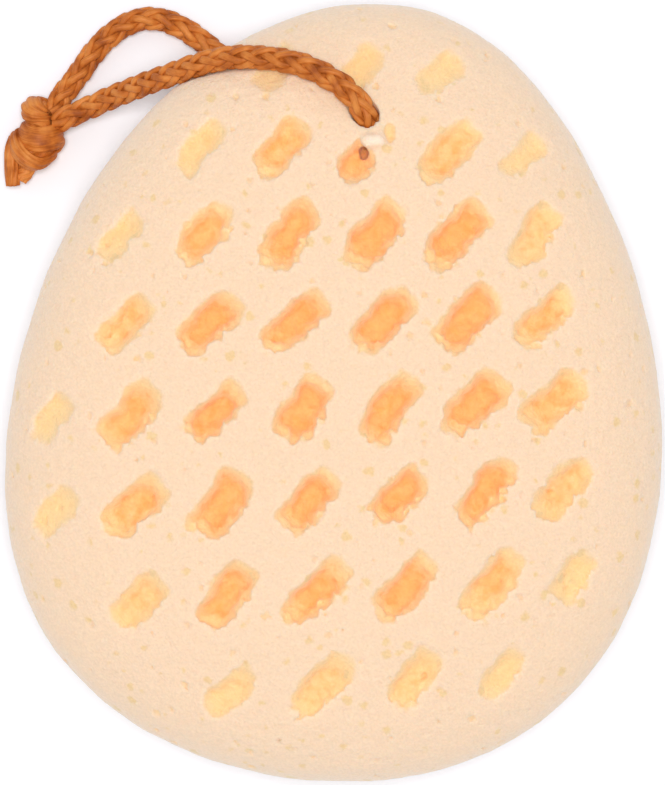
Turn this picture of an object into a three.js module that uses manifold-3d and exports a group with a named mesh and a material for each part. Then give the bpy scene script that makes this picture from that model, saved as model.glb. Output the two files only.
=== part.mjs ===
// An egg-shaped bath sponge of pale foam. Rows of slanted pits are punched in both faces, and a
// hanging loop of braided cord goes through a hole near the narrow end and is tied in a knot.
//
// Millimetres, +Z up. The sponge lies on its back on the plane z = 0, with its narrow end towards
// +Y. The origin is on that plane, under the middle of the sponge's outline.

import * as THREE from "three";
import { mergeVertices } from "three/addons/utils/BufferGeometryUtils.js";
import Module from "manifold-3d";

const wasm = await Module();
wasm.setup();

// ---------------------------------------------------------------- driving dimensions

// The sponge: an egg in plan, with a full, round rim.
const SPONGE_LENGTH = 130;
const SPONGE_THICKNESS = 40;
const EGG_HALF_WIDTH = 54; // at the middle of the length, before the taper
const EGG_TAPER = 0.17; // how much narrower the +Y end is
const EGG_FULLNESS = 0.06; // how much fuller both ends are than an ellipse's
const EGG_LEAN = [0.43, 2.36, 3.7]; // sideways bend of the middle line: constant, 1st, 4th power
const RIM_PLAN_POWER = 3.2; // a higher power keeps the faces flat further out
const RIM_HEIGHT_POWER = 2.2; // 2 would be a round rim, a higher power is squarer
const SETTLE = 1.1; // how much foam is pressed flat where the sponge rests

// The pits: slanted hexagons whose floors lie in one plane, so they fade out towards the rim.
const PIT_LENGTH = 12.4; // corner to corner
const PIT_WIDTH = 6.4; // side to side
const PIT_SLANT = THREE.MathUtils.degToRad(47);
const PIT_FLOOR_SCALE = 0.78; // the floor's size against the mouth's
const PIT_FLOOR_DEPTH = 8; // below the top of the face
const PIT_LIMIT = 0.875; // no pit stands further out than this share of the outline
const PIT_OVERSHOOT = 2; // how far a cutter stands out of the face

// The lattice that the pits stand on. Columns run from left to right and rows from top to bottom.
const LATTICE_COLUMNS = [-3, 4];
const LATTICE_ROWS = [-4, 3];
const LATTICE_START = [-4.9, -2.4]; // the pit in row 0, column 0
const LATTICE_PITCH = [14.4, 14.63];
const LATTICE_NARROWING = 0.077; // columns close up towards the sides, with the cube of their number
const LATTICE_SINK = 0.137; // rows open out towards the broad end
const ROW_DRIFT = 1.07; // each row starts this much further to the right
const COLUMN_RISE = 0.4; // each column starts this much higher
const ROW_SPREAD = 0.176; // each row is wider than the one above it
const ROW_TURN = 0.215; // and turned a little more

// The cord: round, braided, and so long that the loop's two legs meet at the knot.
const CORD_RADIUS = 2.1;
const CORD_SIDES = 8;
const CORD_STEPS = 72;
const CORD_CLEARANCE = 0.4; // the room that the foam leaves round the cord
const CORD_ROUTE = [
  // from the knot, up beside the rim
  [-42.9, 48.1, 5.4],
  [-40.3, 49.1, 6.8],
  [-37.4, 50.2, 9.4],
  [-34.0, 51.2, 13.4],
  [-30.5, 52.2, 17.9],
  [-26.9, 53.1, 22.0],
  [-23.5, 54.1, 25.6],
  // over the rim and along the face
  [-19.9, 54.9, 28.5],
  [-16.2, 55.3, 30.8],
  [-12.4, 55.1, 32.6],
  [-8.8, 54.6, 34.0],
  [-5.0, 53.6, 35.3],
  [-1.4, 51.9, 36.5],
  [1.6, 49.9, 37.3],
  [3.8, 47.7, 37.2],
  [5.1, 45.7, 36.2],
  // down the hole
  [5.9, 43.8, 33.8],
  [6.2, 42.4, 30.6],
  [6.1, 41.4, 26.4],
  [5.8, 40.8, 21.6],
  [5.4, 40.7, 16.4],
  [4.9, 41.0, 11.3],
  [3.7, 41.8, 7.0],
  [1.7, 43.2, 4.1],
  [-1.1, 45.1, 2.8],
  // under the sponge
  [-4.7, 47.5, 2.4],
  [-9.2, 50.5, 2.4],
  [-13.6, 53.5, 2.4],
  [-17.6, 56.3, 2.4],
  // round the open loop and back to the knot
  [-20.6, 58.6, 2.4],
  [-23.2, 60.7, 2.4],
  [-26.0, 62.5, 2.4],
  [-29.2, 63.8, 2.4],
  [-32.6, 64.0, 2.4],
  [-35.9, 62.8, 2.4],
  [-38.9, 60.6, 2.4],
  [-41.4, 57.8, 2.4],
  [-43.4, 54.9, 2.4],
  [-45.1, 52.6, 2.4],
  [-46.3, 51.1, 2.4],
];

// The knot: each lump is an ellipsoid with a centre, three half sizes and a turn about Z.
const KNOT_SIDES = 12;
const KNOT_RINGS = 8;
const KNOT_LUMPS = {
  neck: { centre: [-47.0, 47.3, 4.5], half: [2.8, 2.9, 3.6], turn: 0 },
  crownTurn: { centre: [-50.6, 48.0, 4.4], half: [2.9, 2.8, 3.3], turn: 0 },
  wraps: { centre: [-49.8, 42.8, 4.4], half: [4.6, 4.9, 4.1], turn: 20 },
  tails: { centre: [-53.4, 38.4, 3.1], half: [4.1, 2.2, 2.4], turn: 52 },
};

// ---------------------------------------------------------------- materials

const foam = new THREE.MeshStandardMaterial({ color: 0xfddfbf, roughness: 0.95, metalness: 0 });
const cord = new THREE.MeshStandardMaterial({ color: 0xc6702c, roughness: 0.6, metalness: 0 });

// ---------------------------------------------------------------- solids and booleans

function toSolid(geometry) {
  const bare = geometry.index ? geometry.toNonIndexed() : geometry.clone();
  bare.deleteAttribute("normal");
  bare.deleteAttribute("uv");
  const merged = mergeVertices(bare, 1e-4);
  return new wasm.Manifold(
    new wasm.Mesh({
      numProp: 3,
      vertProperties: new Float32Array(merged.attributes.position.array),
      triVerts: new Uint32Array(merged.index.array),
    }),
  );
}

function toGeometry(solid) {
  const mesh = solid.getMesh();
  const geometry = new THREE.BufferGeometry();
  geometry.setAttribute("position", new THREE.BufferAttribute(mesh.vertProperties, 3));
  geometry.setIndex(new THREE.BufferAttribute(mesh.triVerts, 1));
  geometry.computeVertexNormals();
  return geometry;
}

function namedMesh(name, geometry, material) {
  const mesh = new THREE.Mesh(geometry, material);
  mesh.name = name;
  return mesh;
}

// ---------------------------------------------------------------- the sponge

const HALF_LENGTH = SPONGE_LENGTH / 2;
const HALF_THICKNESS = SPONGE_THICKNESS / 2;

// The middle line's sideways place, and the half width there, at a share of the half length.
function leanAt(along) {
  return EGG_LEAN[0] + EGG_LEAN[1] * along + EGG_LEAN[2] * along ** 4;
}

function halfWidthAt(along) {
  return EGG_HALF_WIDTH * (1 - EGG_TAPER * along + EGG_FULLNESS * along ** 2);
}

// The egg in plan is a disc of radius 1, stretched: a place in the disc to a place in the egg.
function eggPlace(across, along) {
  return [leanAt(along) + halfWidthAt(along) * across, HALF_LENGTH * along];
}

// How far out a place in the egg is: 0 in the middle, and 1 on the outline.
function shareOfOutline(x, y) {
  const along = y / HALF_LENGTH;
  return Math.hypot((x - leanAt(along)) / halfWidthAt(along), along);
}

// The rim's half section runs from the middle of the underside, round the rim, to the middle of
// the face. It is a superellipse, cut off flat below.
function rimSection() {
  const steps = 10;
  const points = [];
  for (let step = -steps; step <= steps; step += 1) {
    const angle = (Math.PI / 2) * (1 - Math.abs(step) / steps);
    const share = Math.sin(angle) ** (2 / RIM_PLAN_POWER);
    const rise = Math.cos(angle) ** (2 / RIM_HEIGHT_POWER);
    const height =
      step < 0
        ? Math.max(0, HALF_THICKNESS - (HALF_THICKNESS + SETTLE) * rise)
        : HALF_THICKNESS * (1 + rise);
    points.push(new THREE.Vector2(Math.abs(step) === steps ? 0 : share, height));
  }
  return points;
}

// The egg is that section turned once round into a disc, and stretched.
function eggSolid() {
  const roundSegments = 60;
  const geometry = new THREE.LatheGeometry(rimSection(), roundSegments);
  geometry.rotateX(Math.PI / 2);
  const place = geometry.attributes.position;
  for (let vertex = 0; vertex < place.count; vertex += 1) {
    const [x, y] = eggPlace(place.getX(vertex), place.getY(vertex));
    place.setXYZ(vertex, x, y, place.getZ(vertex));
  }
  return toSolid(geometry);
}

function pitCentre(column, row) {
  return [
    LATTICE_START[0] +
      LATTICE_PITCH[0] * column -
      LATTICE_NARROWING * column ** 3 +
      (ROW_DRIFT + ROW_SPREAD * column) * row,
    LATTICE_START[1] -
      LATTICE_PITCH[1] * row -
      LATTICE_SINK * row ** 2 +
      (COLUMN_RISE + ROW_TURN * row) * column,
  ];
}

function pitCentres() {
  const centres = [];
  for (let row = LATTICE_ROWS[0]; row <= LATTICE_ROWS[1]; row += 1) {
    for (let column = LATTICE_COLUMNS[0]; column <= LATTICE_COLUMNS[1]; column += 1) {
      const centre = pitCentre(column, row);
      if (shareOfOutline(...centre) < PIT_LIMIT) centres.push(centre);
    }
  }
  return centres;
}

// The cutter of one pit, in the face for side 1 and in the underside for side -1. The floors of
// each side's pits lie in one plane.
function pitCutter([x, y], side) {
  const height = PIT_FLOOR_DEPTH + PIT_OVERSHOOT;
  const sideToSide = Math.cos(Math.PI / 6);
  const cutter = new THREE.CylinderGeometry(0.5, 0.5 * PIT_FLOOR_SCALE, height, 6);
  cutter.rotateX((side * Math.PI) / 2);
  cutter.scale(PIT_WIDTH / sideToSide, PIT_LENGTH, 1);
  cutter.rotateZ(PIT_SLANT - Math.PI / 2);
  const middle = HALF_THICKNESS - PIT_FLOOR_DEPTH + height / 2;
  cutter.translate(x, y, HALF_THICKNESS + side * middle);
  return cutter;
}

function pits() {
  const cutters = pitCentres().flatMap((centre) => [pitCutter(centre, 1), pitCutter(centre, -1)]);
  return wasm.Manifold.union(cutters.map(toSolid));
}

// ---------------------------------------------------------------- the cord

function tubeAlongRoute(radius) {
  const corners = [];
  for (let side = 0; side < CORD_SIDES; side += 1) {
    const angle = (2 * Math.PI * side) / CORD_SIDES;
    corners.push(new THREE.Vector2(radius * Math.cos(angle), radius * Math.sin(angle)));
  }
  const route = new THREE.CatmullRomCurve3(CORD_ROUTE.map((point) => new THREE.Vector3(...point)));
  return new THREE.ExtrudeGeometry(new THREE.Shape(corners), {
    steps: CORD_STEPS,
    extrudePath: route,
  });
}

function knotSolid() {
  const lumps = Object.values(KNOT_LUMPS).map(({ centre, half, turn }) => {
    const lump = new THREE.SphereGeometry(1, KNOT_SIDES, KNOT_RINGS);
    lump.rotateX(Math.PI / 2);
    lump.scale(...half);
    lump.rotateZ(THREE.MathUtils.degToRad(turn));
    lump.translate(...centre);
    return toSolid(lump);
  });
  return wasm.Manifold.union(lumps);
}

// ---------------------------------------------------------------- the object

// The foam gives way to the cord: a hole through it, and a dent above and below.
const spongeSolid = eggSolid()
  .subtract(pits())
  .subtract(toSolid(tubeAlongRoute(CORD_RADIUS + CORD_CLEARANCE)));

const bathSponge = new THREE.Group();
bathSponge.name = "bath_sponge";
bathSponge.add(
  namedMesh("sponge_body", toGeometry(spongeSolid), foam),
  namedMesh("cord_loop", toGeometry(toSolid(tubeAlongRoute(CORD_RADIUS))), cord),
  namedMesh("cord_knot", toGeometry(knotSolid()), cord),
);

export default bathSponge;
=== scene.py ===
"""A bath sponge of pale open-cell foam, with a hanging loop of braided cord tied in a knot.

The sponge lies on its back on a pale surface, with its narrow end towards +Y. Everything is built
in metres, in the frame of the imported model; sizes are named in millimetres and turned to metres
where a mesh is made.
"""

import logging
import math
import random
from collections.abc import Iterable, Sequence
from dataclasses import dataclass
from enum import Enum

import bpy
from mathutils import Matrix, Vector


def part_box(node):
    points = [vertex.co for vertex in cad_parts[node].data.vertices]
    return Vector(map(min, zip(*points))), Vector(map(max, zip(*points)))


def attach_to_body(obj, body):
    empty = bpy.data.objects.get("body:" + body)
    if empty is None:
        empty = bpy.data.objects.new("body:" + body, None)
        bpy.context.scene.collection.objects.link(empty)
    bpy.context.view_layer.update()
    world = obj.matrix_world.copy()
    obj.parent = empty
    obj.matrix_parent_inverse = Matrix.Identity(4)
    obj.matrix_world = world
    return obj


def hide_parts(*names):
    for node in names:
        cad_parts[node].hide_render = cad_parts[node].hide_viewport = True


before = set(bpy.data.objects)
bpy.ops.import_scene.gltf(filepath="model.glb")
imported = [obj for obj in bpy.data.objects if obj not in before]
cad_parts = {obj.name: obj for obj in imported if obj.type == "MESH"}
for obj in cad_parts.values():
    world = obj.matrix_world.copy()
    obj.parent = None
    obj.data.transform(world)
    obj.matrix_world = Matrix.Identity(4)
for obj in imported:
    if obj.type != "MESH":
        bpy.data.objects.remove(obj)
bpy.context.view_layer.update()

MM = 0.001
BODY = "root"

Point = tuple[float, float, float]
Colour = tuple[float, float, float, float]
Plug = bpy.types.Node | bpy.types.NodeSocket | bpy.types.ID | float | Sequence[float] | str | None

MATH = "ShaderNodeMath"
VECTOR_MATH = "ShaderNodeVectorMath"
MIX = "ShaderNodeMix"
NOISE = "ShaderNodeTexNoise"
CELLS = "ShaderNodeTexVoronoi"
REMAP = "ShaderNodeMapRange"
STORE = "GeometryNodeStoreNamedAttribute"
RECALL = "GeometryNodeInputNamedAttribute"

log = logging.getLogger("bath_sponge")


# ------------------------------------------------------------------ colours, nodes and meshes


def linear(hex_colour: str) -> Colour:
    """Turns an sRGB colour to the linear one that shaders take.

    Args:
        hex_colour: six hex digits after a #.

    Returns:
        Linear red, green and blue, and an alpha of 1.
    """
    shares = [int(hex_colour[start:start + 2], 16) / 255 for start in (1, 3, 5)]
    red, green, blue = (s / 12.92 if s <= 0.04045 else ((s + 0.055) / 1.055) ** 2.4 for s in shares)
    return red, green, blue, 1.0


def add(
    tree: bpy.types.NodeTree,
    kind: str,
    *plugs: Plug,
    at: dict[int | str, Plug] | None = None,
    **settings: object,
) -> bpy.types.Node:
    """Adds one node to a tree, sets it up and plugs its inputs in.

    Args:
        tree: the tree that gets the node.
        kind: the node's type name.
        *plugs: what goes in the first inputs, in order. A socket or a node's first output is
            linked, None leaves an input alone, and anything else becomes the input's value.
        at: the same for other inputs, by their number or name.
        **settings: the node's own properties.

    Returns:
        The new node.
    """
    node = tree.nodes.new(kind)
    for name, value in settings.items():
        setattr(node, name, value)
    for place, plug in [*enumerate(plugs), *(at or {}).items()]:
        if isinstance(plug, bpy.types.Node):
            tree.links.new(plug.outputs[0], node.inputs[place])
        elif isinstance(plug, bpy.types.NodeSocket):
            tree.links.new(plug, node.inputs[place])
        elif plug is not None:
            node.inputs[place].default_value = plug
    return node


def new_object(
    name: str,
    vertices: Iterable[Sequence[float]],
    edges: Sequence[Sequence[int]] = (),
    faces: Sequence[Sequence[int]] = (),
) -> bpy.types.Object:
    """Makes a mesh object at the origin and links it to the scene.

    Args:
        name: the object's and the mesh's name.
        vertices: the points, in metres.
        edges: pairs of vertex numbers, where there are no faces.
        faces: lists of vertex numbers.

    Returns:
        The new object.
    """
    mesh = bpy.data.meshes.new(name)
    mesh.from_pydata([tuple(vertex) for vertex in vertices], edges, faces)
    made = bpy.data.objects.new(name, mesh)
    bpy.context.scene.collection.objects.link(made)
    return made


def smooth_route(points: Sequence[Point], steps: int) -> list[Vector]:
    """Draws a smooth curve through points.

    Args:
        points: what the curve goes through.
        steps: how many stretches each span is cut into.

    Returns:
        The curve's points, with the first and the last of the given ones at its ends.
    """
    knots = [Vector(point) for point in points]
    knots = [2 * knots[0] - knots[1], *knots, 2 * knots[-1] - knots[-2]]
    route = []
    for before, start, end, after in zip(knots, knots[1:], knots[2:], knots[3:]):
        for step in range(steps):
            t = step / steps
            route.append(
                0.5 * (2 * start + (end - before) * t
                       + (2 * before - 5 * start + 4 * end - after) * t**2
                       + (3 * start - before - 3 * end + after) * t**3)
            )
    return [*route, knots[-2]]


def route_length(route: Sequence[Vector]) -> float:
    """Adds up the stretches of a route."""
    return sum((end - start).length for start, end in zip(route, route[1:]))


class GeometryRecipe:
    """A geometry node tree, with its named sizes and the values that they get."""

    def __init__(self, name: str) -> None:
        """Starts a tree with a geometry input.

        Args:
            name: the tree's name.
        """
        self.tree = bpy.data.node_groups.new(name, "GeometryNodeTree")
        self.tree.interface.new_socket("Geometry", in_out="INPUT", socket_type="NodeSocketGeometry")
        self.tree.interface.new_socket("Geometry", in_out="OUTPUT", socket_type="NodeSocketGeometry")
        self.inlet = self.tree.nodes.new("NodeGroupInput")
        self.values: dict[str, float] = {}

    @property
    def geometry(self) -> bpy.types.NodeSocket:
        """The geometry that the tree starts from."""
        return self.inlet.outputs["Geometry"]

    def size(self, name: str, value: float) -> bpy.types.NodeSocket:
        """Adds a named size to the tree's inputs.

        Args:
            name: the input's name.
            value: what the input is set to on the object.

        Returns:
            The socket that the size comes out of.
        """
        socket = self.tree.interface.new_socket(name, in_out="INPUT", socket_type="NodeSocketFloat")
        self.values[socket.identifier] = value
        return self.inlet.outputs[name]

    def run_on(self, base: bpy.types.Object, made: Plug, material: bpy.types.Material) -> None:
        """Ends the tree, runs it on an object and leaves a plain mesh there.

        Args:
            base: the object that holds the tree's starting geometry.
            made: the node or socket that the finished geometry comes out of.
            material: what the geometry is made of.
        """
        real = add(self.tree, "GeometryNodeRealizeInstances", made)
        dressed = add(self.tree, "GeometryNodeSetMaterial", real, at={"Material": material})
        add(self.tree, "NodeGroupOutput", dressed)
        modifier = base.modifiers.new(self.tree.name, "NODES")
        modifier.node_group = self.tree
        for identifier, value in self.values.items():
            modifier[identifier] = value
        graph = bpy.context.evaluated_depsgraph_get()
        mesh = bpy.data.meshes.new_from_object(base.evaluated_get(graph), depsgraph=graph)
        base.modifiers.clear()
        start = base.data
        base.data = mesh
        bpy.data.meshes.remove(start)
        mesh.name = base.name
        mesh.shade_smooth()


# ------------------------------------------------------------------ finishes


@dataclass(frozen=True)
class FoamFinish:
    """Open-cell polyurethane foam, cut and left raw: matt and chalky, and painted deeper in colour
    inside the pits, for the orange light bounced round in them.
    """

    name: str = "open_cell_polyurethane_foam"
    # Painted light by depth: the pale yellow of shallow cuts paints light on the pits' walls, and the
    # deep orange paints light bounced round inside the pits; the palest colour goes where the foam
    # stands above the plain egg.
    shades: tuple[tuple[float, str], ...] = (  # the depth of the cut in millimetres, and its colour
        (-0.9, "#F5DFC9"), (-0.35, "#EFD2B4"), (0.14, "#EFD2B4"), (0.45, "#F2D0A0"),
        (1.1, "#FDD39B"), (2.3, "#FFCD93"), (3.4, "#FEBF7E"), (4.6, "#FBB673"),
    )
    spot: str = "#E9C997"
    blotch: str = "#F8AE66"
    roughness: float = 0.95
    specular: float = 0.2
    sheen: float = 0.25
    sheen_roughness: float = 0.5
    glow: float = 0.6
    glow_reach_mm: float = 2.0
    glow_shares: tuple[float, float, float] = (1.0, 0.75, 0.55)  # how far red, green and blue go
    cell_mm: float = 0.45  # an open cell of the foam
    cell_noise: tuple[float, float] = (0.3, 0.7)
    cell_tones: tuple[float, float] = (0.955, 1.045)  # the darkest and the lightest single cells
    crumb_mm: float = 1.6  # a torn cluster of cells
    mottle_mm: float = 2.4
    mottle_starts_mm: tuple[float, float] = (0.4, 2.0)  # the depths where it begins and is whole
    mottle_swing_mm: float = 3.2  # how far it moves the depth that a colour is picked for
    inner_starts_mm: tuple[float, float] = (1.2, 3.2)  # spots give way to blotches between these
    blotch_noise: tuple[float, float] = (0.46, 0.74)
    blotch_level: float = 0.9
    spot_spacing_mm: float = 3.2
    spot_reach: tuple[float, float] = (0.05, 0.34)  # the smallest and largest, in spacings
    spot_edge: float = 0.12
    spot_level: float = 0.9
    spot_warp_mm: float = 1.4
    spot_warp_size_mm: float = 1.2
    bump_mm: float = 0.35
    bump: float = 0.8
    cell_relief: float = 0.55  # the cells' share of the relief, against the crumbs'

    def material(self) -> bpy.types.Material:
        """Builds the foam's material.

        Returns:
            The material, which reads the attribute cut_depth in millimetres.
        """
        material = bpy.data.materials.new(self.name)
        material.use_nodes = True
        tree = material.node_tree
        shader = tree.nodes["Principled BSDF"]
        place = add(tree, "ShaderNodeTexCoord").outputs["Object"]
        depth = add(tree, "ShaderNodeAttribute", attribute_name="cut_depth").outputs["Fac"]

        grain = add(tree, NOISE, place, at={"Scale": 1 / (self.cell_mm * MM), "Detail": 2.0})
        colour = self._colour(tree, place, depth, grain)
        tree.links.new(colour.outputs[0], shader.inputs["Base Color"])

        crumbs = add(tree, NOISE, place, at={"Scale": 1 / (self.crumb_mm * MM), "Detail": 2.0})
        relief = add(tree, MATH, grain, self.cell_relief, crumbs, operation="MULTIPLY_ADD")
        bump = add(
            tree, "ShaderNodeBump",
            at={"Strength": self.bump, "Distance": self.bump_mm * MM, "Height": relief},
        )
        tree.links.new(bump.outputs[0], shader.inputs["Normal"])
        for name, value in (
            ("Roughness", self.roughness), ("Specular IOR Level", self.specular),
            ("Subsurface Weight", self.glow), ("Subsurface Radius", self.glow_shares),
            ("Subsurface Scale", self.glow_reach_mm * MM), ("Sheen Weight", self.sheen),
            ("Sheen Roughness", self.sheen_roughness),
        ):
            shader.inputs[name].default_value = value
        return material

    def _colour(
        self,
        tree: bpy.types.NodeTree,
        place: bpy.types.NodeSocket,
        depth: bpy.types.NodeSocket,
        grain: bpy.types.Node,
    ) -> bpy.types.Node:
        """Lays out the foam's colour: by depth, which paints light on the pits' walls and the light
        bounced round inside them, with spots on the face and blotches in the pits.

        Args:
            tree: the material's tree.
            place: the socket that a place comes out of, in metres.
            depth: the socket that the depth of the cut comes out of, in millimetres.
            grain: the node that the tone of the single cells comes out of.

        Returns:
            The node that the colour comes out of.
        """
        mottle = add(tree, NOISE, place, at={"Scale": 1 / (self.mottle_mm * MM), "Detail": 3.0})
        inside = add(tree, REMAP, depth, *self.mottle_starts_mm, 0.0, self.mottle_swing_mm)
        sway = add(tree, MATH, mottle, -0.5, operation="ADD")
        swayed = add(tree, MATH, sway, inside, depth, operation="MULTIPLY_ADD")
        low, high = self.shades[0][0], self.shades[-1][0]
        share = add(tree, REMAP, swayed, low, high, 0.0, 1.0)
        # This ramp paints the light on the pits' walls and the light bounced round inside the pits,
        # by the depth of the cut.
        shades = add(tree, "ShaderNodeValToRGB", share)
        elements = shades.color_ramp.elements
        elements[0].color = linear(self.shades[0][1])
        elements[-1].color = linear(self.shades[-1][1])
        for level, colour in self.shades[1:-1]:
            elements.new((level - low) / (high - low)).color = linear(colour)

        warp = add(
            tree, NOISE, place, at={"Scale": 1 / (self.spot_warp_size_mm * MM), "Detail": 2.0},
        )
        warped = add(
            tree, VECTOR_MATH, warp.outputs["Color"], (self.spot_warp_mm * MM,) * 3, place,
            operation="MULTIPLY_ADD",
        )
        cells = add(tree, CELLS, warped, at={"Scale": 1 / (self.spot_spacing_mm * MM)})
        luck = add(tree, "ShaderNodeSeparateXYZ", cells.outputs["Color"]).outputs["X"]
        reach = add(tree, REMAP, luck, 0.0, 1.0, *self.spot_reach)
        nearness = add(tree, MATH, reach, cells.outputs["Distance"], operation="SUBTRACT")
        spots = add(tree, REMAP, nearness, 0.0, self.spot_edge, 0.0, self.spot_level)
        spotted = add(tree, MIX, spots, data_type="RGBA", at={6: shades, 7: linear(self.spot)})

        # Blotches of deeper orange vary the painted bounced light inside the pits at random.
        pit_mottle_noise = add(tree, NOISE, place, at={"Scale": 1 / (self.crumb_mm * MM), "Detail": 1.0})
        pit_mottle_share = add(tree, REMAP, pit_mottle_noise, *self.blotch_noise, 0.0, self.blotch_level)
        in_pit = add(tree, REMAP, depth, *self.inner_starts_mm, 0.0, 1.0)
        blotched = add(tree, MATH, pit_mottle_share, in_pit, operation="MULTIPLY")
        inner = add(tree, MIX, in_pit, data_type="RGBA", at={6: spotted.outputs[2], 7: shades})
        tinted = add(
            tree, MIX, blotched, data_type="RGBA",
            at={6: inner.outputs[2], 7: linear(self.blotch)},
        )
        tone = add(tree, REMAP, grain, *self.cell_noise, *self.cell_tones)
        return add(tree, VECTOR_MATH, tinted.outputs[2], operation="SCALE", at={"Scale": tone})


@dataclass(frozen=True)
class CordFinish:
    """Braided polyester yarn with a thin wax: soft highlights that run along fine filaments, partly
    painted into its colour along with painted shade.
    """

    name: str = "waxed_polyester_braid"
    shades: tuple[tuple[float, str], ...] = (  # from painted shade on the yarn to painted highlight
        (0.52, "#984A14"), (0.72, "#C26B24"), (0.94, "#DB8A40"),
    )
    roughness: float = 0.55
    specular: float = 0.3
    filament_mm: float = 0.16  # a bundle of filaments: single ones are too fine to show
    filament_stretch: float = 0.06  # how much slower the filaments change along the yarn
    filament_share: float = 0.5
    bump_mm: float = 0.08
    bump: float = 0.5
    mottle_mm: float = 3.0

    def material(self) -> bpy.types.Material:
        """Builds the cord's material.

        Returns:
            The material, which reads the attributes yarn_along and yarn_around, in millimetres.
        """
        material = bpy.data.materials.new(self.name)
        material.use_nodes = True
        tree = material.node_tree
        shader = tree.nodes["Principled BSDF"]
        place = add(tree, "ShaderNodeTexCoord").outputs["Object"]
        along = add(tree, "ShaderNodeAttribute", attribute_name="yarn_along").outputs["Fac"]
        around = add(tree, "ShaderNodeAttribute", attribute_name="yarn_around").outputs["Fac"]
        drawn_out = add(tree, MATH, along, self.filament_stretch, operation="MULTIPLY")
        lane = add(tree, "ShaderNodeCombineXYZ", around, drawn_out)
        filaments = add(tree, NOISE, lane, at={"Scale": 1 / self.filament_mm, "Detail": 2.0})
        mottle = add(tree, NOISE, place, at={"Scale": 1 / (self.mottle_mm * MM), "Detail": 3.0})
        tone = add(tree, MATH, filaments, self.filament_share, mottle, operation="MULTIPLY_ADD")
        # The ramp paints shade and highlight on the yarn, at random along its filaments.
        shades = add(tree, "ShaderNodeValToRGB", tone)
        elements = shades.color_ramp.elements
        for element, (level, colour) in zip(elements, (self.shades[0], self.shades[-1])):
            element.position, element.color = level, linear(colour)
        for level, colour in self.shades[1:-1]:
            elements.new(level).color = linear(colour)
        tree.links.new(shades.outputs[0], shader.inputs["Base Color"])
        bump = add(
            tree, "ShaderNodeBump",
            at={"Strength": self.bump, "Distance": self.bump_mm * MM, "Height": filaments},
        )
        tree.links.new(bump.outputs[0], shader.inputs["Normal"])
        shader.inputs["Roughness"].default_value = self.roughness
        shader.inputs["Specular IOR Level"].default_value = self.specular
        return material


@dataclass(frozen=True)
class FloorFinish:
    """White laminate, matt and even."""

    name: str = "white_laminate"
    colour: str = "#F4F6FB"
    roughness: float = 0.7

    def material(self) -> bpy.types.Material:
        """Builds the floor's material."""
        material = bpy.data.materials.new(self.name)
        material.use_nodes = True
        shader = material.node_tree.nodes["Principled BSDF"]
        shader.inputs["Base Color"].default_value = linear(self.colour)
        shader.inputs["Roughness"].default_value = self.roughness
        return material


# ------------------------------------------------------------------ camera, light and floor


@dataclass
class Studio:
    """The camera straight above the sponge, soft light from above, and the floor, in metres."""

    distance: float = 0.730  # from the camera to the middle of the sponge's thickness
    lens_mm: float = 200.1
    camera_shift_x: float = -0.00017
    key_height: float = 1.9
    key_size: float = 0.55
    key_watts: float = 23.0
    sky: str = "#FBFCFF"
    sky_strength: float = 0.57
    floor_side: float = 6.0

    def make_camera(self) -> None:
        """Places the camera, looking straight down with +Y up in its view."""
        low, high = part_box("sponge_body")
        data = bpy.data.cameras.new("camera")
        data.lens = self.lens_mm
        camera = bpy.data.objects.new("camera", data)
        camera.location = (self.camera_shift_x, 0.0, (low.z + high.z) / 2 + self.distance)
        bpy.context.scene.collection.objects.link(camera)
        bpy.context.scene.camera = camera

    def make_light(self) -> None:
        """Hangs one large lamp overhead and whitens the sky round it."""
        lamp = bpy.data.lights.new("overhead_softbox", "AREA")
        lamp.energy = self.key_watts
        lamp.size = self.key_size
        softbox = bpy.data.objects.new("overhead_softbox", lamp)
        softbox.location = (0.0, 0.0, self.key_height)
        bpy.context.scene.collection.objects.link(softbox)
        world = bpy.data.worlds.new("white_room")
        world.use_nodes = True
        sky = world.node_tree.nodes["Background"]
        sky.inputs["Color"].default_value = linear(self.sky)
        sky.inputs["Strength"].default_value = self.sky_strength
        bpy.context.scene.world = world
        bpy.context.scene.view_settings.view_transform = "Standard"

    def make_floor(self) -> None:
        """Lays the floor under the sponge."""
        reach = self.floor_side / 2
        corners = [(-reach, -reach, 0), (reach, -reach, 0), (reach, reach, 0), (-reach, reach, 0)]
        floor = new_object("floor", corners, faces=[(0, 1, 2, 3)])
        floor.data.materials.append(FloorFinish().material())


# ------------------------------------------------------------------ the cord


class Lay(Enum):
    """Which way a yarn winds round the braid, and how many yarns further on it starts."""

    RIGHT = (1, 0.0)
    LEFT = (-1, -0.5)


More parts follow.
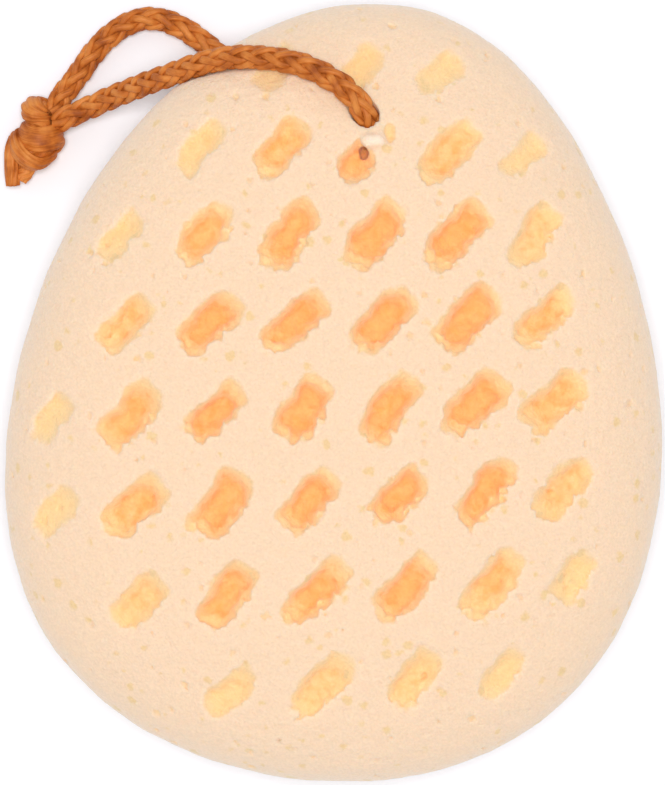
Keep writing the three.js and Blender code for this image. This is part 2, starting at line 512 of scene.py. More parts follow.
@dataclass
class BraidedCord:
    """The hanging loop: one round braid of twelve yarns, through the foam and back to the knot."""

    diameter_mm: float = 4.2
    yarns_each_way: int = 6
    lay_length_mm: float = 23.4  # along the cord, for one turn of a yarn
    roll: float = 0.45  # how far the whole braid is turned, in radians
    yarn_half_width_mm: float = 0.66
    yarn_half_thickness_mm: float = 0.52
    weave_mm: float = 0.42  # how far a yarn rises over the yarns that it crosses
    weave_sharpness: float = 1.4
    plump: float = 0.24  # how much a yarn swells where it lies on top
    step_mm: float = 0.45
    sides: int = 8
    smoothing: int = 4
    route_mm: tuple[Point, ...] = (
        # inside the knot, from its mouth
        (-47.3, 46.0, 4.2), (-45.6, 46.9, 4.9),
        # from the knot, up beside the rim
        (-42.9, 48.1, 5.4), (-40.3, 49.1, 6.8), (-37.4, 50.2, 9.4), (-34.0, 51.2, 13.4),
        (-30.5, 52.2, 17.9), (-26.9, 53.1, 22.0), (-23.5, 54.1, 25.6),
        # over the rim and along the face
        (-19.9, 54.9, 28.5), (-16.2, 55.3, 30.8), (-12.4, 55.1, 32.6), (-8.8, 54.6, 34.0),
        (-5.0, 53.6, 35.3), (-1.4, 51.9, 36.5), (1.6, 49.9, 37.3), (3.8, 47.7, 37.2),
        (5.1, 45.7, 36.2),
        # down the hole
        (5.9, 43.8, 33.8), (6.2, 42.4, 30.6), (6.1, 41.4, 26.4), (5.8, 40.8, 21.6),
        (5.4, 40.7, 16.4), (4.9, 41.0, 11.3), (3.7, 41.8, 7.0), (1.7, 43.2, 4.1),
        (-1.1, 45.1, 2.8),
        # under the sponge
        (-4.7, 47.5, 2.4), (-9.2, 50.5, 2.4), (-13.6, 53.5, 2.4), (-17.6, 56.3, 2.4),
        # round the open loop and back to the knot
        (-20.6, 58.6, 2.4), (-23.2, 60.7, 2.4), (-26.0, 62.5, 2.4), (-29.2, 63.8, 2.4),
        (-32.6, 64.0, 2.4), (-35.9, 62.8, 2.4), (-38.9, 60.6, 2.4), (-41.4, 57.8, 2.4),
        (-43.4, 54.9, 2.4), (-45.1, 52.6, 2.4), (-46.3, 51.1, 2.4),
        # inside the knot
        (-47.4, 49.3, 2.6), (-48.6, 47.4, 3.2),
    )

    def route(self) -> list[Vector]:
        """The braid's middle line, in metres."""
        return [point * MM for point in smooth_route(self.route_mm, self.smoothing)]

    def build(self, material: bpy.types.Material) -> bpy.types.Object:
        """Winds the yarns round the route.

        Args:
            material: what the yarns are made of.

        Returns:
            The braid, as one mesh.
        """
        route = self.route()
        edges = [(number, number + 1) for number in range(len(route) - 1)]
        braid = new_object("braided_cord", route, edges)
        recipe = GeometryRecipe("braid")
        recipe.run_on(braid, self._yarns(recipe), material)
        return braid

    def _yarns(self, recipe: GeometryRecipe) -> bpy.types.Node:
        """Lays out the nodes of the braid.

        Args:
            recipe: the tree, which starts from the route's edges.

        Returns:
            The node that joins the yarns.
        """
        tree = recipe.tree
        line = add(tree, "GeometryNodeMeshToCurve", recipe.geometry)
        step = recipe.size("step", self.step_mm * MM)
        even = add(tree, "GeometryNodeResampleCurve", line, mode="LENGTH", at={"Length": step})
        upright = add(tree, "GeometryNodeSetCurveNormal", even, mode="MINIMUM_TWIST")
        length = add(tree, "GeometryNodeSplineParameter").outputs["Length"]
        facts = (
            ("FLOAT", "route_length", length),
            ("FLOAT_VECTOR", "route_normal", add(tree, "GeometryNodeInputNormal").outputs[0]),
            ("FLOAT_VECTOR", "route_tangent", add(tree, "GeometryNodeInputTangent").outputs[0]),
        )
        marked = upright
        for data_type, name, value in facts:
            marked = add(
                tree, STORE, marked, data_type=data_type, at={"Name": name, "Value": value},
            )
        joined = add(tree, "GeometryNodeJoinGeometry")
        for lay in Lay:
            tree.links.new(self._yarns_one_way(recipe, marked, lay).outputs[0], joined.inputs[0])
        return joined

    def _yarns_one_way(
        self, recipe: GeometryRecipe, marked: bpy.types.Node, lay: Lay
    ) -> bpy.types.Node:
        """Winds the yarns that turn one way.

        Args:
            recipe: the tree.
            marked: the route, with its length, normal and tangent stored on it.
            lay: the way that these yarns turn.

        Returns:
            The node that the yarns come out of.
        """
        tree = recipe.tree
        hand, start = lay.value
        spacing = math.tau / self.yarns_each_way
        copies = add(
            tree, "GeometryNodeDuplicateElements", marked, domain="SPLINE",
            at={"Amount": self.yarns_each_way},
        )
        length = add(tree, RECALL, "route_length", data_type="FLOAT")
        normal = add(tree, RECALL, "route_normal", data_type="FLOAT_VECTOR")
        tangent = add(tree, RECALL, "route_tangent", data_type="FLOAT_VECTOR")
        turn_rate = recipe.size(
            f"{lay.name} turn per metre", hand * math.tau / (self.lay_length_mm * MM),
        )
        lift = recipe.size(f"{lay.name} weave", hand * self.weave_mm * MM)
        first = add(
            tree, MATH, copies.outputs["Duplicate Index"], spacing, start * spacing,
            operation="MULTIPLY_ADD",
        )
        angle = add(tree, MATH, length, turn_rate, first, operation="MULTIPLY_ADD")
        turned = add(tree, MATH, angle, self.roll, operation="ADD")
        crossing = add(tree, MATH, angle, self.yarns_each_way / 2, operation="MULTIPLY")
        wave = add(tree, MATH, crossing, operation="COSINE")
        steep = add(tree, MATH, wave, self.weave_sharpness, operation="MULTIPLY")
        weave = add(tree, REMAP, steep, -1.0, 1.0, -1.0, 1.0, interpolation_type="SMOOTHSTEP")
        middle = (self.diameter_mm / 2 - self.yarn_half_thickness_mm - self.weave_mm) * MM
        out = add(
            tree, MATH, weave, lift, recipe.size(f"{lay.name} middle radius", middle),
            operation="MULTIPLY_ADD",
        )
        side = add(tree, VECTOR_MATH, tangent, normal, operation="CROSS_PRODUCT")
        cosine = add(tree, MATH, turned, operation="COSINE")
        sine = add(tree, MATH, turned, operation="SINE")
        part_normal = add(tree, VECTOR_MATH, normal, operation="SCALE", at={"Scale": cosine})
        part_side = add(tree, VECTOR_MATH, side, operation="SCALE", at={"Scale": sine})
        outward = add(tree, VECTOR_MATH, part_normal, part_side, operation="ADD")
        offset = add(tree, VECTOR_MATH, outward, operation="SCALE", at={"Scale": out})
        wound = add(tree, "GeometryNodeSetPosition", copies, at={"Offset": offset})
        faced = add(tree, "GeometryNodeSetCurveNormal", wound, mode="FREE", at={"Normal": outward})
        swell = add(tree, MATH, weave, hand * self.plump, 1.0, operation="MULTIPLY_ADD")
        swollen = add(tree, "GeometryNodeSetCurveRadius", faced, at={"Radius": swell})
        yarn_length = add(tree, "GeometryNodeSplineParameter").outputs["Length"]
        along = add(tree, MATH, yarn_length, 1 / MM, operation="MULTIPLY")
        measured = add(
            tree, STORE, swollen, data_type="FLOAT", at={"Name": "yarn_along", "Value": along},
        )
        circle = add(
            tree, "GeometryNodeCurvePrimitiveCircle", self.sides, mode="RADIUS", at={"Radius": 1.0},
        )
        oval = add(
            tree, "GeometryNodeTransform", circle,
            at={"Scale": (self.yarn_half_thickness_mm * MM, self.yarn_half_width_mm * MM, 1.0)},
        )
        share = add(tree, "GeometryNodeSplineParameter").outputs["Factor"]
        girth = add(tree, MATH, share, math.tau * self.yarn_half_width_mm, operation="MULTIPLY")
        section = add(
            tree, STORE, oval, data_type="FLOAT", at={"Name": "yarn_around", "Value": girth},
        )
        return add(tree, "GeometryNodeCurveToMesh", measured, section, at={"Fill Caps": True})


@dataclass(frozen=True)
class Turn:
    """One turn of cord in the knot: its middle line, and how it is squeezed flat there."""

    points_mm: tuple[Point, ...]
    half_width_mm: float
    half_thickness_mm: float
    closed: bool = False
    twist: float = 0.0  # how far its ribs turn from end to end, in radians
    taper: float = 1.0  # its size at the end, against the start


@dataclass
class TiedKnot:
    """The knot: turns of the same cord pulled so tight that they lie flat, and two cut tails."""

    middle_mm: Point = (-50.0, 43.0, 4.3)
    ribs: int = 8  # the yarns, which show as ribs where the cord is pulled tight
    rib_depth: float = 0.10
    sides: int = 48
    smoothing: int = 10
    turns: tuple[Turn, ...] = (
        Turn(  # the round turn at the crown
            ((-49.9, 48.4, 2.0), (-51.1, 48.6, 3.9), (-51.0, 47.9, 5.2), (-50.5, 46.7, 5.2),
             (-50.3, 45.2, 3.8)),
            2.15, 2.0, twist=0.6,
        ),
        Turn(  # the turn inside, which the wraps go round
            ((-48.6, 44.6, 4.0), (-49.8, 43.2, 4.3), (-51.0, 41.6, 4.2), (-52.4, 40.0, 3.8)),
            2.9, 2.5, twist=0.8,
        ),
        Turn(  # the upper wrap
            ((-47.9, 43.2, 1.9), (-47.4, 44.0, 3.9), (-48.3, 43.5, 5.9), (-50.2, 43.1, 6.8),
             (-52.0, 43.6, 6.0), (-52.8, 44.6, 4.0), (-52.3, 44.6, 2.1), (-49.6, 44.0, 1.6)),
            2.1, 1.2, closed=True, twist=math.tau / 8,
        ),
        Turn(  # the lower wrap
            ((-54.0, 43.0, 3.6), (-53.8, 41.4, 5.3), (-52.5, 39.8, 5.9), (-50.8, 39.2, 5.1),
             (-49.5, 40.3, 3.6), (-49.8, 41.5, 1.8), (-52.1, 42.6, 1.7)),
            2.05, 1.25, closed=True, twist=math.tau / 8,
        ),
        Turn(  # the tail on top
            ((-54.3, 43.4, 3.3), (-54.9, 41.4, 3.7), (-55.0, 39.4, 3.5), (-55.0, 37.4, 3.0),
             (-54.9, 35.5, 2.6)),
            1.45, 1.3, twist=1.1, taper=0.9,
        ),
        Turn(  # the tail behind it
            ((-51.6, 40.2, 2.6), (-52.5, 38.9, 2.5), (-53.2, 37.7, 2.3), (-53.9, 36.7, 2.1)),
            1.7, 1.4, twist=0.8, taper=0.9,
        ),
    )

    def build(self, material: bpy.types.Material) -> bpy.types.Object:
        """Sweeps every turn and joins them in one mesh.

        Args:
            material: what the cord is made of.

        Returns:
            The knot.
        """
        vertices: list[Vector] = []
        faces: list[list[int]] = []
        along: list[float] = []
        around: list[float] = []
        for turn in self.turns:
            self._sweep(turn, vertices, faces, along, around)
        knot = new_object("overhand_knot", [vertex * MM for vertex in vertices], faces=faces)
        for name, values in (("yarn_along", along), ("yarn_around", around)):
            knot.data.attributes.new(name, "FLOAT", "POINT").data.foreach_set("value", values)
        knot.data.materials.append(material)
        knot.data.shade_smooth()
        return knot

    def _sweep(
        self,
        turn: Turn,
        vertices: list[Vector],
        faces: list[list[int]],
        along: list[float],
        around: list[float],
    ) -> None:
        """Sweeps a ribbed, flattened section along one turn.

        Args:
            turn: the turn.
            vertices: gets the turn's points, in millimetres.
            faces: gets its faces.
            along: gets how far along the turn each point is, in millimetres.
            around: gets how far round the section each point is, in millimetres.
        """
        points = turn.points_mm
        if turn.closed:
            lap = smooth_route([points[-1], *points, points[0], points[1]], self.smoothing)
            line = lap[self.smoothing:-self.smoothing - 1]
        else:
            line = smooth_route(points, self.smoothing)
        first = len(vertices)
        count = len(line)
        travelled = 0.0
        for number, point in enumerate(line):
            before = line[(number - 1) % count if turn.closed else max(number - 1, 0)]
            after = line[(number + 1) % count if turn.closed else min(number + 1, count - 1)]
            tangent = (after - before).normalized()
            outward = point - Vector(self.middle_mm)
            outward = (outward - outward.dot(tangent) * tangent).normalized()
            side = tangent.cross(outward)
            share = number / count
            size = 1 + (turn.taper - 1) * share
            if number:
                travelled += (point - line[number - 1]).length
            for corner in range(self.sides):
                angle = math.tau * corner / self.sides
                ridge = abs(math.cos(self.ribs / 2 * (angle + turn.twist * share)))
                rib = 1 + self.rib_depth * (2 * ridge - 1)
                vertices.append(
                    point
                    + side * (math.cos(angle) * turn.half_width_mm * size * rib)
                    + outward * (math.sin(angle) * turn.half_thickness_mm * size * rib)
                )
                along.append(travelled)
                around.append(angle * turn.half_width_mm)
        rings = count if turn.closed else count - 1
        for ring in range(rings):
            here, there = first + ring * self.sides, first + (ring + 1) % count * self.sides
            for corner in range(self.sides):
                beside = (corner + 1) % self.sides
                faces.append([here + corner, here + beside, there + beside, there + corner])
        if not turn.closed:
            faces.append([first + corner for corner in reversed(range(self.sides))])
            end = first + (count - 1) * self.sides
            faces.append([end + corner for corner in range(self.sides)])


# ------------------------------------------------------------------ the foam


@dataclass(frozen=True)
class Lump:
    """An ellipsoid of foam that is left standing, or of air that is torn out."""

    middle_mm: Point
    half_mm: Point
    filled: bool


@dataclass
class FoamBody:
    """The sponge: an egg of foam with a slanted lattice of pits in both faces."""

    length_mm: float = 130.0
    thickness_mm: float = 40.0
    half_width_mm: float = 54.0
    taper: float = 0.17
    fullness: float = 0.06
    lean_mm: tuple[float, float, float] = (0.43, 2.36, 3.7)
    plan_power: float = 3.2
    height_power: float = 2.2
    settle_mm: float = 1.1

    lattice_columns: tuple[int, int] = (-3, 4)
    lattice_rows: tuple[int, int] = (-4, 3)
    lattice_start_mm: tuple[float, float] = (-4.9, -2.4)
    lattice_pitch_mm: tuple[float, float] = (14.4, 14.63)
    lattice_narrowing_mm: float = 0.077
    lattice_sink_mm: float = 0.137
    row_drift_mm: float = 1.07
    column_rise_mm: float = 0.4
    row_spread_mm: float = 0.176
    row_turn_mm: float = 0.215

    pit_half_length_mm: float = 6.7
    pit_half_width_mm: float = 3.4
    pit_slant: float = math.radians(47)
    pit_depth_mm: tuple[float, float] = (4.3, 1.0)  # in the middle, and near the rim
    pit_fade: tuple[float, float] = (0.55, 0.87)  # the shares of the outline where they thin out
    pit_squareness: float = 4.5
    pit_limit: float = 0.875
    pit_seed: int = 5
    pit_slant_spread: float = 0.13
    pit_length_spread: tuple[float, float] = (0.92, 1.06)
    pit_width_spread: tuple[float, float] = (0.88, 1.1)
    rim_shrink: float = 0.22  # how much smaller a pit is at the rim
    hole_pit: tuple[int, int] = (1, -3)  # the column and row of the pit that the cord's hole cuts
    hole_pit_middle_mm: tuple[float, float] = (3.7, 37.8)
    hole_pit_shares: tuple[float, float] = (0.55, 0.85)  # its length and width, against the others

    crumb_mm: float = 1.4  # the torn clusters of cells that an edge follows
    crumb_share: float = 0.7
    wander_mm: float = 1.6
    wander_size_mm: float = 4.5
    edge_slope: float = 0.3  # how far the torn edge goes in, for each millimetre down
    slope_starts_mm: tuple[float, float] = (-1.1, -0.2)  # inside the edge: steep and gentle sides
    slope_ends_mm: tuple[float, float] = (2.2, 3.4)
    gentle_shares: tuple[float, float] = (0.2, 0.9)  # of the way out to one end and one side
    floor_fillet_mm: float = 0.8
    floor_waves: tuple[float, float] = (0.4, 0.8)  # their height and the lowest, in depths
    floor_wave_mm: float = 1.7
    pore_spacing_mm: float = 2.6
    pore_luck: float = 0.55  # the share of bubbles that stay shut
    pore_warp_mm: float = 1.1
    pore_warp_size_mm: float = 0.9
    pore_radius_mm: float = 0.75
    pore_depth_mm: float = 0.4
    grain_mm: float = 0.14
    grain_size_mm: float = 1.1
    swell_size_mm: float = 9.0
    channel_mm: float = 2.25
    voxel_mm: float = 0.38
    loose_limit: int = 4000  # vertices; a smaller island is a loose crumb or a closed bubble
    margin_mm: float = 1.6

    lump_raggedness: float = 0.8
    lump_edge: float = 1.4  # where a lump ends, in half sizes with the raggedness added
    lumps: tuple[Lump, ...] = (
        Lump((5.0, 39.3, 34.3), (0.9, 1.15, 4.3), filled=False),
        Lump((9.2, 42.6, 37.5), (1.0, 2.0, 1.4), filled=False),
        Lump((6.5, 41.0, 37.5), (2.1, 1.25, 1.25), filled=True),
    )

    def outline_share(self, x: float, y: float) -> float:
        """How far out a place is: 0 in the middle of the egg, and 1 on its outline.

        Args:
            x: across the egg, in millimetres.
            y: along the egg, in millimetres.

        Returns:
            The share of the way to the outline.
        """
        along = y / (self.length_mm / 2)
        lean = self.lean_mm[0] + self.lean_mm[1] * along + self.lean_mm[2] * along**4
        half_width = self.half_width_mm * (1 - self.taper * along + self.fullness * along**2)
        return math.hypot((x - lean) / half_width, along)

    def pit_places(self) -> list[tuple[int, int, float, float]]:
        """Lists the pits of one face: column, row, and the middle's x and y in millimetres."""
        places = []
        for row in range(self.lattice_rows[0], self.lattice_rows[1] + 1):
            for column in range(self.lattice_columns[0], self.lattice_columns[1] + 1):
                x = (
                    self.lattice_start_mm[0] + self.lattice_pitch_mm[0] * column
                    - self.lattice_narrowing_mm * column**3
                    + (self.row_drift_mm + self.row_spread_mm * column) * row
                )
                y = (
                    self.lattice_start_mm[1] - self.lattice_pitch_mm[1] * row
                    - self.lattice_sink_mm * row**2
                    + (self.column_rise_mm + self.row_turn_mm * row) * column
                )
                if self.outline_share(x, y) < self.pit_limit:
                    places.append((column, row, x, y))
        return places

    def build(self, route: Sequence[Vector], material: bpy.types.Material) -> bpy.types.Object:
        """Forms the foam from a field of its depth, and turns it to a mesh.

        Args:
            route: the cord's middle line, in metres.
            material: what the foam is.

        Returns:
            The foam body.
        """
        chance = random.Random(self.pit_seed)
        places, axes, sizes = [], [], []
        for column, row, x, y in self.pit_places():
            slant = self.pit_slant + chance.uniform(-self.pit_slant_spread, self.pit_slant_spread)
            share = self.outline_share(x, y)
            start, end = self.pit_fade
            fade = min(1.0, max(0.0, (share - start) / (end - start)))
            depth = self.pit_depth_mm[0] + (self.pit_depth_mm[1] - self.pit_depth_mm[0]) * fade
            small = 1 - self.rim_shrink * fade**2
            longer = small * chance.uniform(*self.pit_length_spread)
            wider = small * chance.uniform(*self.pit_width_spread)
            if (column, row) == self.hole_pit:
                x, y = self.hole_pit_middle_mm
                longer, wider = self.hole_pit_shares
            places.append(Vector((x, y, 0)) * MM)
            axes.append((math.cos(slant), math.sin(slant), 0.0))
            sizes.append((self.pit_half_length_mm * longer, self.pit_half_width_mm * wider, depth))
        pits = len(places)
        edges = [(pits + number, pits + number + 1) for number in range(len(route) - 1)]
        foam = new_object("foam_body", [*places, *route], edges)
        spare = [(0.0, 0.0, 0.0)] * len(route)
        for name, values in (("pit_axis", [*axes, *spare]), ("pit_size", [*sizes, *spare])):
            flat = [number for value in values for number in value]
            foam.data.attributes.new(name, "FLOAT_VECTOR", "POINT").data.foreach_set("vector", flat)
        on_cord = [False] * pits + [True] * len(route)
        foam.data.attributes.new("on_cord", "BOOLEAN", "POINT").data.foreach_set("value", on_cord)
        recipe = GeometryRecipe("foam")
        recipe.run_on(foam, self._formed(recipe), material)
        return foam

    def _egg_depth(self, recipe: GeometryRecipe, place: bpy.types.Node) -> bpy.types.Node:
        """Lays out the depth below the plain egg's surface.

        Args:
            recipe: the tree.
            place: the node that parts a place into x, y and z, in millimetres.

        Returns:
            The node that the depth comes out of, in millimetres: positive inside.
        """
        tree = recipe.tree
        x, y, z = place.outputs
        along = add(tree, MATH, y, recipe.size("half length", self.length_mm / 2), operation="DIVIDE")
        square = add(tree, MATH, along, along, operation="MULTIPLY")
        fourth = add(tree, MATH, square, square, operation="MULTIPLY")
        bend = add(tree, MATH, along, self.lean_mm[1], self.lean_mm[0], operation="MULTIPLY_ADD")
        lean = add(tree, MATH, fourth, self.lean_mm[2], bend, operation="MULTIPLY_ADD")
        narrow = add(tree, MATH, along, -self.taper, 1.0, operation="MULTIPLY_ADD")
        full = add(tree, MATH, square, self.fullness, narrow, operation="MULTIPLY_ADD")
        half_width = recipe.size("half width", self.half_width_mm)
        width = add(tree, MATH, full, half_width, operation="MULTIPLY")
        aside = add(tree, MATH, x, lean, operation="SUBTRACT")
        across = add(tree, MATH, aside, width, operation="DIVIDE")
        share_square = add(tree, MATH, across, across, square, operation="MULTIPLY_ADD")
        plan = add(tree, MATH, share_square, self.plan_power / 2, operation="POWER")

        half = self.thickness_mm / 2
        height = add(tree, MATH, z, recipe.size("half thickness", half), operation="SUBTRACT")
        below = add(tree, MATH, height, 0.0, operation="LESS_THAN")
        reach = add(tree, MATH, below, self.settle_mm, half, operation="MULTIPLY_ADD")
        high = add(tree, MATH, height, operation="ABSOLUTE")
        high_share = add(tree, MATH, high, reach, operation="DIVIDE")
        rise = add(tree, MATH, high_share, self.height_power, operation="POWER")

        total = add(tree, MATH, plan, rise, operation="ADD")
        power = (self.plan_power + self.height_power) / 2
        out = add(tree, MATH, total, 1 / power, operation="POWER")
        inward = add(tree, MATH, 1.0, out, operation="SUBTRACT")
        # The field falls twice as fast through the face as through the rim, so it is evened out.
        rim_share = add(tree, MATH, plan, total, operation="DIVIDE")
        face_slope = self.height_power / power / half
        rim_slope = self.plan_power / power / (self.length_mm + 2 * self.half_width_mm) * 4
        slope = add(
            tree, MATH, rim_share, rim_slope - face_slope, face_slope, operation="MULTIPLY_ADD",
        )
        depth = add(tree, MATH, inward, slope, operation="DIVIDE")
        return add(tree, MATH, depth, z, operation="MINIMUM")

    def _torn_places(
        self, recipe: GeometryRecipe, millimetres: bpy.types.Node
    ) -> tuple[bpy.types.Node, bpy.types.Node]:
        """Bends places, and pulls them towards the middles of torn clusters of cells.

        Args:
            recipe: the tree.
            millimetres: the node that a place comes out of, in millimetres.

        Returns:
            The nodes of the bent place, for a floor that waves, and of the bent and pulled place,
            for an edge that is ragged.
        """
        tree = recipe.tree
        flat = add(tree, VECTOR_MATH, millimetres, (1.0, 1.0, 0.0), operation="MULTIPLY")
        sway = add(tree, NOISE, flat, at={"Scale": 1 / self.wander_size_mm, "Detail": 3.0})
        centred = add(tree, VECTOR_MATH, sway.outputs["Color"], (-0.5, -0.5, -0.5), operation="ADD")
        bent = add(
            tree, VECTOR_MATH, centred, (2 * self.wander_mm,) * 3, millimetres,
            operation="MULTIPLY_ADD",
        )
        crumbs = add(
            tree, CELLS, millimetres, voronoi_dimensions="2D", at={"Scale": 1 / self.crumb_mm},
        )
        to_crumb = add(tree, VECTOR_MATH, crumbs.outputs["Position"], flat, operation="SUBTRACT")
        share = recipe.size("crumb share", self.crumb_share)
        pull = add(tree, VECTOR_MATH, to_crumb, operation="SCALE", at={"Scale": share})
        return bent, add(tree, VECTOR_MATH, bent, pull, operation="ADD")

    def _pit_depth(
        self, recipe: GeometryRecipe, millimetres: bpy.types.Node, egg: bpy.types.Node
    ) -> bpy.types.Node:
        """Lays out the nearest pit's hollow.

        Args:
            recipe: the tree, which starts from the middles of the pits and the cord's route.
            millimetres: the node that a place comes out of, in millimetres.
            egg: the node that the depth below the egg's surface comes out of.

        Returns:
            The node that the field comes out of, in millimetres: positive in the hollow.
        """
        tree = recipe.tree
        on_cord = add(tree, RECALL, "on_cord", data_type="BOOLEAN")
        pits = add(tree, "GeometryNodeDeleteGeometry", recipe.geometry, on_cord)
        flat = add(tree, VECTOR_MATH, millimetres, (MM, MM, 0.0), operation="MULTIPLY")
        nearest = add(tree, "GeometryNodeSampleNearest", pits, at={"Sample Position": flat})
        facts = (
            add(tree, "GeometryNodeInputPosition").outputs[0],
            add(tree, RECALL, "pit_axis", data_type="FLOAT_VECTOR").outputs[0],
            add(tree, RECALL, "pit_size", data_type="FLOAT_VECTOR").outputs[0],
        )
        middle, axis, size = (
            add(
                tree, "GeometryNodeSampleIndex", pits, data_type="FLOAT_VECTOR",
                at={"Value": fact, "Index": nearest},
            )
            for fact in facts
        )
        half_length, half_width, pit_depth = add(tree, "ShaderNodeSeparateXYZ", size).outputs
        middle_mm = add(tree, VECTOR_MATH, middle, operation="SCALE", at={"Scale": 1 / MM})
        side = add(tree, VECTOR_MATH, (0.0, 0.0, 1.0), axis, operation="CROSS_PRODUCT")
        shares, inward = [], []
        for spot in self._torn_places(recipe, millimetres):
            away = add(tree, VECTOR_MATH, spot, middle_mm, operation="SUBTRACT")
            powers = []
            for way, reach in ((axis, half_length), (side, half_width)):
                along = add(tree, VECTOR_MATH, away, way, operation="DOT_PRODUCT").outputs["Value"]
                shares.append(add(tree, MATH, along, reach, operation="DIVIDE"))
                positive = add(tree, MATH, shares[-1], operation="ABSOLUTE")
                powers.append(add(tree, MATH, positive, self.pit_squareness, operation="POWER"))
            total = add(tree, MATH, *powers, operation="ADD")
            out = add(tree, MATH, total, 1 / self.pit_squareness, operation="POWER")
            left = add(tree, MATH, 1.0, out, operation="SUBTRACT")
            inward.append(add(tree, MATH, left, half_width, operation="MULTIPLY"))

        slope = recipe.size("edge slope", -self.edge_slope)
        walls = add(tree, MATH, egg, slope, inward[1], operation="MULTIPLY_ADD")
        furthest = add(tree, MATH, shares[0], shares[1], operation="MAXIMUM")
        gentle = add(
            tree, REMAP, furthest, *self.gentle_shares, 0.0, 1.0, interpolation_type="SMOOTHSTEP",
        )
        mouth = add(tree, REMAP, gentle, 0.0, 1.0, *self.slope_starts_mm)
        foot = add(tree, REMAP, gentle, 0.0, 1.0, *self.slope_ends_mm)
        bowl = add(tree, REMAP, inward[0], mouth, foot, 0.0, 1.0, interpolation_type="SMOOTHSTEP")
        waves = add(tree, NOISE, millimetres, at={"Scale": 1 / self.floor_wave_mm, "Detail": 2.0})
        swing = add(tree, MATH, waves, *self.floor_waves, operation="MULTIPLY_ADD")
        deep = add(tree, MATH, bowl, pit_depth, operation="MULTIPLY")
        ground = add(tree, MATH, deep, swing, operation="MULTIPLY")
        above = add(tree, MATH, ground, egg, operation="SUBTRACT")
        fillet = recipe.size("floor fillet", self.floor_fillet_mm)
        return add(tree, MATH, walls, above, fillet, operation="SMOOTH_MIN")

    def _with_pores(
        self, recipe: GeometryRecipe, millimetres: bpy.types.Node, solid: bpy.types.Node
    ) -> bpy.types.Node:
        """Bursts bubbles in the foam's skin.

        Args:
            recipe: the tree.
            millimetres: the node that a place comes out of, in millimetres.
            solid: the node that the foam's depth comes out of.

        Returns:
            The node that the depth with the pores comes out of.
        """
        tree = recipe.tree
        sway = add(
            tree, NOISE, millimetres, at={"Scale": 1 / self.pore_warp_size_mm, "Detail": 1.0},
        )
        swayed = add(
            tree, VECTOR_MATH, sway.outputs["Color"], (self.pore_warp_mm,) * 3, millimetres,
            operation="MULTIPLY_ADD",
        )
        bubbles = add(tree, CELLS, swayed, at={"Scale": 1 / self.pore_spacing_mm})
        distance = add(
            tree, MATH, bubbles.outputs["Distance"], self.pore_spacing_mm, operation="MULTIPLY",
        )
        luck = add(tree, "ShaderNodeSeparateXYZ", bubbles.outputs["Color"]).outputs["X"]
        radius = add(
            tree, REMAP, luck, self.pore_luck, 1.0, 0.0,
            recipe.size("pore radius", self.pore_radius_mm),
        )
        wall = add(tree, MATH, distance, radius, operation="SUBTRACT")
        under = add(
            tree, MATH, solid, recipe.size("pore depth", self.pore_depth_mm), operation="SUBTRACT",
        )
        kept = add(tree, MATH, wall, under, operation="MAXIMUM")
        return add(tree, MATH, solid, kept, operation="MINIMUM")

    def _formed(self, recipe: GeometryRecipe) -> bpy.types.Node:
        """Lays out the whole foam body.

        Args:
            recipe: the tree, which starts from the middles of the pits and the cord's route.

        Returns:
            The node that the foam's mesh comes out of.
        """
        tree = recipe.tree
        position = add(tree, "GeometryNodeInputPosition")
        millimetres = add(tree, VECTOR_MATH, position, operation="SCALE", at={"Scale": 1 / MM})
        place = add(tree, "ShaderNodeSeparateXYZ", millimetres)
        egg = self._egg_depth(recipe, place)
        grain = add(tree, NOISE, millimetres, at={"Scale": 1 / self.grain_size_mm, "Detail": 2.0})
        swell = add(tree, NOISE, millimetres, at={"Scale": 1 / self.swell_size_mm, "Detail": 1.0})
        # Both noises lie round a half, so half of their heights is taken off again.
        rough = add(tree, MATH, grain, 2 * self.grain_mm, egg, operation="MULTIPLY_ADD")
        rough = add(tree, MATH, swell, 4 * self.grain_mm, rough, operation="MULTIPLY_ADD")
        rough = add(tree, MATH, rough, -3 * self.grain_mm, operation="ADD")
        pit = self._pit_depth(recipe, millimetres, egg)
        beside = add(tree, MATH, pit, -1.0, operation="MULTIPLY")
        solid = add(tree, MATH, rough, beside, operation="MINIMUM")
        solid = self._with_pores(recipe, millimetres, solid)

        cord = add(tree, "GeometryNodeProximity", recipe.geometry, target_element="EDGES")
        channel_radius = recipe.size("channel radius", self.channel_mm)
        away = add(tree, MATH, cord.outputs["Distance"], 1 / MM, operation="MULTIPLY")
        clear = add(tree, MATH, away, channel_radius, operation="SUBTRACT")
        solid = add(tree, MATH, solid, clear, operation="MINIMUM")
        for lump in self.lumps:
            from_middle = add(tree, VECTOR_MATH, millimetres, lump.middle_mm, operation="SUBTRACT")
            shares = add(tree, VECTOR_MATH, from_middle, lump.half_mm, operation="DIVIDE")
            out = add(tree, VECTOR_MATH, shares, operation="LENGTH").outputs["Value"]
            ragged = add(tree, MATH, grain, self.lump_raggedness, out, operation="MULTIPLY_ADD")
            depth = add(tree, MATH, self.lump_edge, ragged, operation="SUBTRACT")
            if lump.filled:
                solid = add(tree, MATH, solid, depth, operation="MAXIMUM")
            else:
                open_air = add(tree, MATH, depth, -1.0, operation="MULTIPLY")
                solid = add(tree, MATH, solid, open_air, operation="MINIMUM")

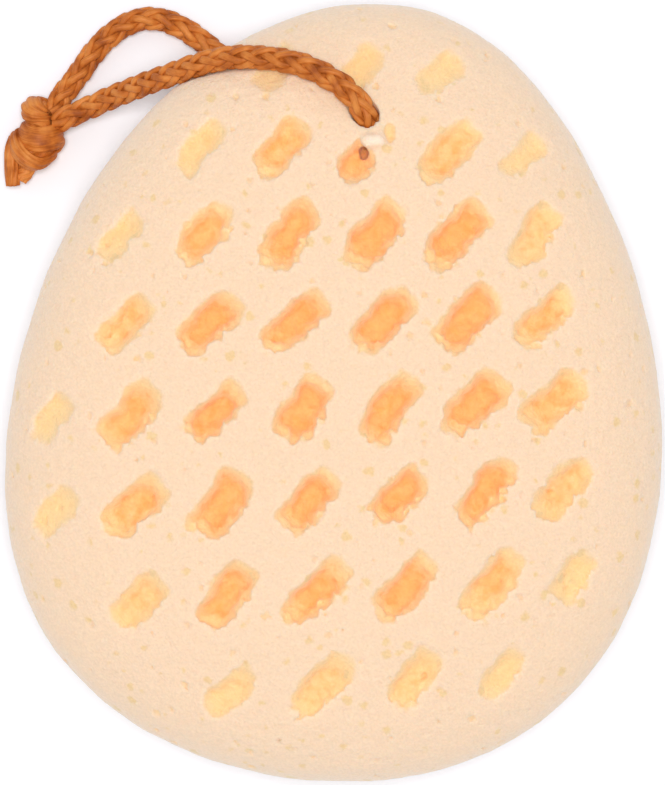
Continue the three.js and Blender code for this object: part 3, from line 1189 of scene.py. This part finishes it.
        low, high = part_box("sponge_body")
        margin = Vector((1, 1, 1)) * self.margin_mm * MM
        voxel = self.voxel_mm * 1 * MM
        span = high - low + 2 * margin
        counts = [round(side / voxel) for side in span]
        volume = add(
            tree, "GeometryNodeVolumeCube",
            at={
                "Density": solid, "Background": -1.0, "Min": tuple(low - margin),
                "Max": tuple(high + margin), "Resolution X": counts[0],
                "Resolution Y": counts[1], "Resolution Z": counts[2],
            },
        )
        skin = add(
            tree, "GeometryNodeVolumeToMesh", volume, resolution_mode="GRID", at={"Threshold": 0.0},
        )
        island = add(tree, "GeometryNodeInputMeshIsland").outputs["Island Index"]
        count = add(
            tree, "GeometryNodeAccumulateField", data_type="INT", domain="POINT",
            at={"Value": 1, "Group ID": island},
        )
        limit = self.loose_limit // 1
        loose = add(tree, MATH, count.outputs["Total"], limit, operation="LESS_THAN")
        whole = add(tree, "GeometryNodeDeleteGeometry", skin, loose)
        return add(tree, STORE, whole, data_type="FLOAT", at={"Name": "cut_depth", "Value": egg})


# ------------------------------------------------------------------ the object


def attach(piece: bpy.types.Object, slot: str, *nodes: str) -> None:
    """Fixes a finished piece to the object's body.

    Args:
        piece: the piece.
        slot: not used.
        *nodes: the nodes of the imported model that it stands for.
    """
    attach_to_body(piece, BODY)
    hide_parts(*nodes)
    mesh = piece.data
    log.info("%s: %d vertices, %d faces", piece.name, len(mesh.vertices), len(mesh.polygons))


def main() -> None:
    """Builds the camera, the cord with its knot, the foam, the light and the floor."""
    logging.basicConfig(level=logging.INFO, format="%(name)s: %(message)s")
    studio = Studio()
    studio.make_camera()

    cord_material = CordFinish().material()
    cord = BraidedCord()
    route = cord.route()
    braid = cord.build(cord_material)
    knot = TiedKnot().build(cord_material)
    attach(knot, "cord", "cord_knot")
    attach(braid, "cord", "cord_loop")
    log.info("cord route: %.1f mm", route_length(route) / MM)

    foam = FoamBody().build(route, FoamFinish().material())
    attach(foam, "foam", "sponge_body")

    studio.make_light()
    studio.make_floor()


if __name__ == "__main__":
    main()
